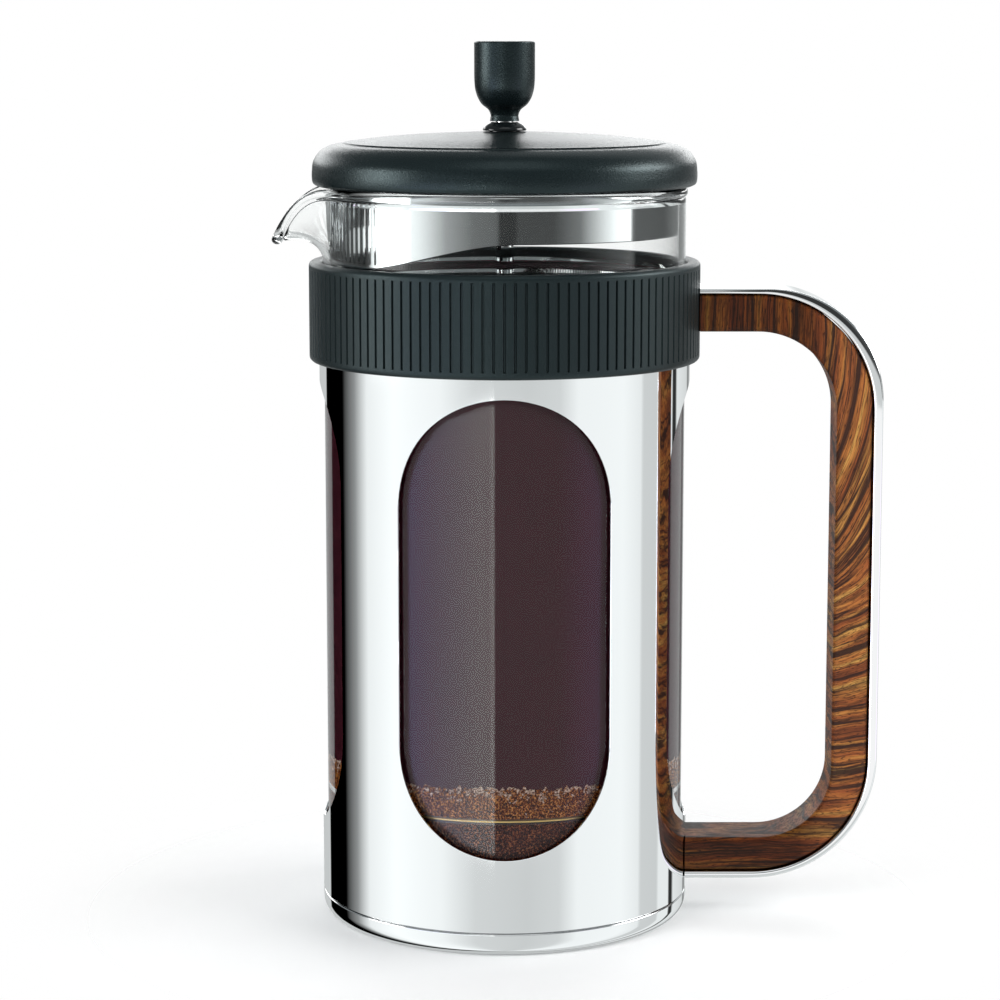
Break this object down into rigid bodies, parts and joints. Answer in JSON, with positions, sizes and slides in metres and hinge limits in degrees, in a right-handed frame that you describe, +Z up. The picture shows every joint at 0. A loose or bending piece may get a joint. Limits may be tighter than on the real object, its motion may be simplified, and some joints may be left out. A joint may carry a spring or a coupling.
{
  "type": "french press",
  "caption": "Cylindrical glass beaker with pouring spout in a windowed steel frame with ribbed collar and wooden side handle, closed by a black lid with a sprung plunger filter.",
  "frame": {"origin": "centre of the flat underside of the base, on the beaker's axis", "axes": "+Z up along the plunger rod, handle towards +X, pouring spout towards -X"},
  "size_m": [0.1694, 0.1084, 0.2444],
  "materials": {
    "polished_steel": "mirror polished stainless steel",
    "brushed_steel": "satin stainless steel",
    "spring_steel": "bright drawn wire",
    "black_plastic": "fine-grained matt",
    "gloss_plastic": "smooth moulded",
    "silicone": "matt",
    "clear_glass": "clear borosilicate",
    "rosewood": "striped reddish brown, satin lacquer",
    "brass": "machined"
  },
  "bodies": {
    "frame": {"base_pan": "polished_steel", "base_pad": "silicone", "sleeve": "polished_steel", "collar": "black_plastic", "upper_bracket": "brushed_steel", "lower_bracket": "brushed_steel", "handle_grip": "rosewood", "handle_strap": "polished_steel", "upper_screw": "brushed_steel", "lower_screw": "brushed_steel"},
    "beaker": {"glass_beaker": "clear_glass"},
    "guide": {"rod_guide": "gloss_plastic", "guide_washer": "brushed_steel", "guide_nut": "brushed_steel"},
    "lid": {"lid_shell": "black_plastic", "lid_liner": "brushed_steel"},
    "plunger": {"knob": "black_plastic", "knob_insert": "brass", "plunger_rod": "polished_steel", "rod_collar": "brushed_steel", "spiral_plate": "brushed_steel", "rim_spring": "spring_steel", "mesh_filter": "brushed_steel", "cross_plate": "brushed_steel", "plate_nut": "brushed_steel"}
  },
  "joints": [
    {"name": "beaker_lift", "type": "slide", "parent": "frame", "child": "beaker", "axis": [0, 0, 1], "range_m": [0, 0.19]},
    {"name": "lid_lift", "type": "slide", "parent": "beaker", "child": "guide", "axis": [0, 0, 1], "range_m": [0, 0.19]},
    {"name": "lid_turn", "type": "hinge", "parent": "guide", "child": "lid", "pos_m": [0, 0, 0.205], "axis": [0, 0, 1], "continuous": true},
    {"name": "plunger_slide", "type": "slide", "parent": "guide", "child": "plunger", "axis": [0, 0, 1], "range_m": [0, 0.14]}
  ]
}
